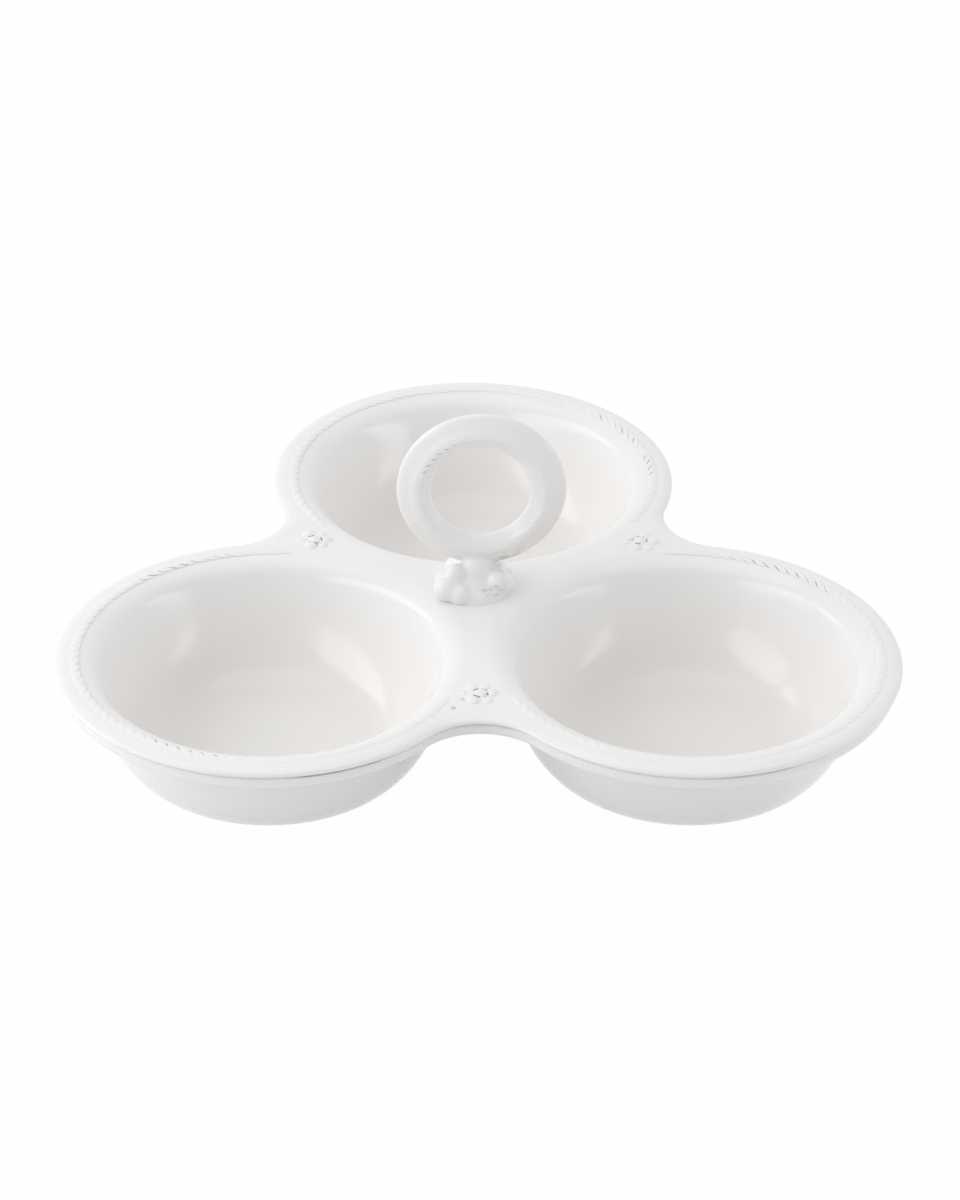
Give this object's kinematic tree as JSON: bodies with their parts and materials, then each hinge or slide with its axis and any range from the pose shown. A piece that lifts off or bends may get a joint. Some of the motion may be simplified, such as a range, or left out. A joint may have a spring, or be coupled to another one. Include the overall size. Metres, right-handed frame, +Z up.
{
  "type": "divided serving bowl",
  "caption": "Round-lobed ceramic serving dish: deep bowls joined by a level web and a rolled rim with a rope edge, with an upright ring handle in the middle.",
  "frame": {"origin": "on the table, under the handle, on the upright axis that the bowls are set round", "axes": "+Z up; +Y towards the back bowl; -Y towards the notch between the left and right bowls, which faces the front"},
  "size_m": [0.3346, 0.3126, 0.131],
  "materials": {
    "glaze": "gloss off-white glaze",
    "relief_glaze": "gloss off-white glaze, worn brown in the hollows",
    "foot_clay": "matte bare fired clay"
  },
  "bodies": {
    "root": {"left_bowl": "glaze", "right_bowl": "glaze", "back_bowl": "glaze", "centre_web": "glaze", "left_rim": "glaze", "right_rim": "glaze", "back_rim": "glaze", "front_notch_rim": "glaze", "left_notch_rim": "glaze", "right_notch_rim": "glaze", "left_rope_edge": "relief_glaze", "right_rope_edge": "relief_glaze", "back_rope_edge": "relief_glaze", "front_berries": "relief_glaze", "left_berries": "relief_glaze", "right_berries": "relief_glaze", "left_foot_ring": "foot_clay", "right_foot_ring": "foot_clay", "back_foot_ring": "foot_clay", "handle_collar": "glaze", "collar_berries": "relief_glaze", "handle_ring": "glaze", "handle_ropes": "relief_glaze"}
  },
  "joints": []
}
